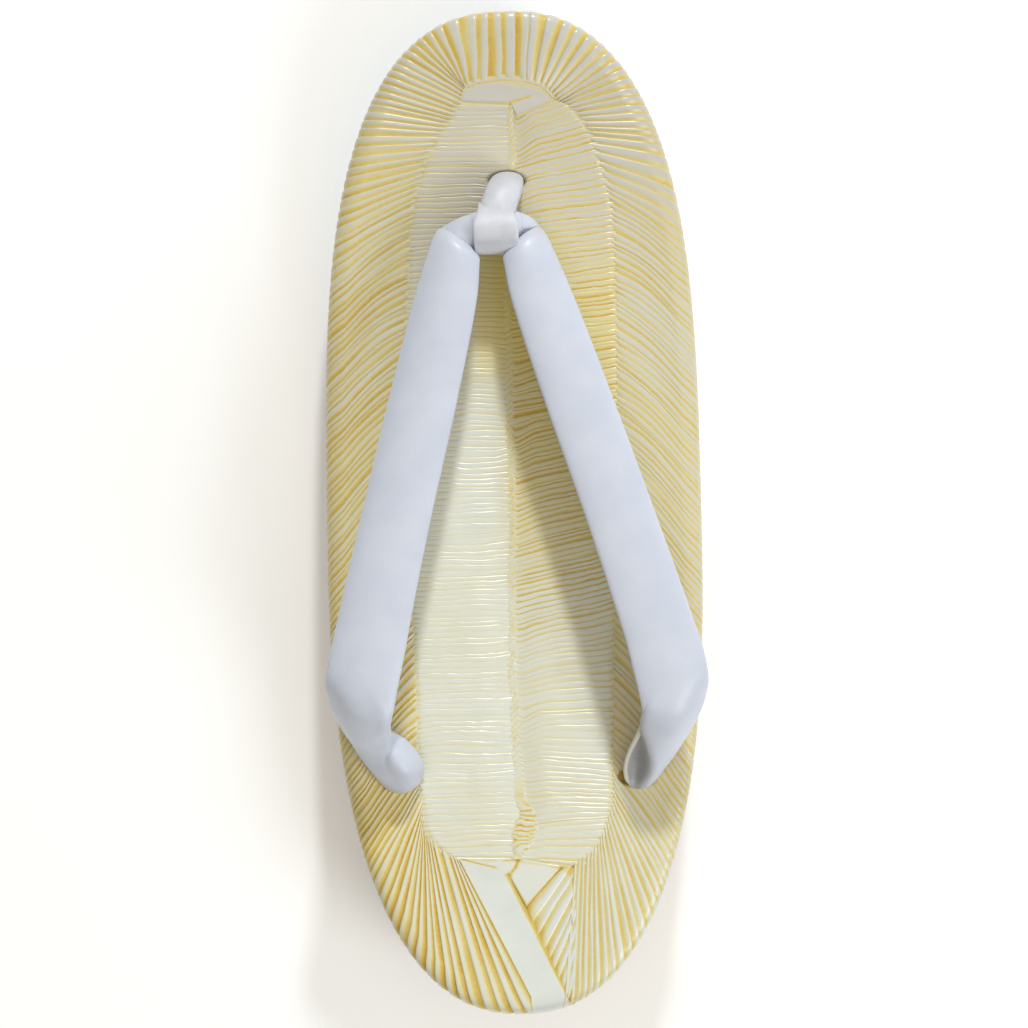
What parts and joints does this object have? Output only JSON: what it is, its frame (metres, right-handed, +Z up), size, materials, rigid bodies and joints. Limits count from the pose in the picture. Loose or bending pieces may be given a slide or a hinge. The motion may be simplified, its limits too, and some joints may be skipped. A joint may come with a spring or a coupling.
{
  "type": "zori sandal",
  "caption": "Thonged zori sandal: padded pleated footbed on a cork wedge with a rubber outsole, a padded V strap and a front toe loop.",
  "frame": {"origin": "on the floor under the middle of the sole", "axes": "+Y towards the toe, +X to the right seen from above, +Z up from the floor"},
  "size_m": [0.091, 0.24, 0.0521],
  "materials": {
    "outsole_rubber": "matte blue-grey sheet rubber with a darker cut side",
    "amber_plate": "translucent amber plate with a fine dot grid",
    "cork": "agglomerated cork granules with dark specks",
    "pleated_vinyl": "glossy cream vinyl, pleated, with ochre in the grooves",
    "strap_vinyl": "matte pale grey-white vinyl with a fine grain",
    "loop_vinyl": "smooth white vinyl with a soft gloss"
  },
  "bodies": {
    "root": {"outsole": "outsole_rubber", "heel_plate": "amber_plate", "cork_core": "cork", "footbed": "pleated_vinyl", "hanao": "strap_vinyl", "maetsubo": "loop_vinyl"}
  },
  "joints": []
}
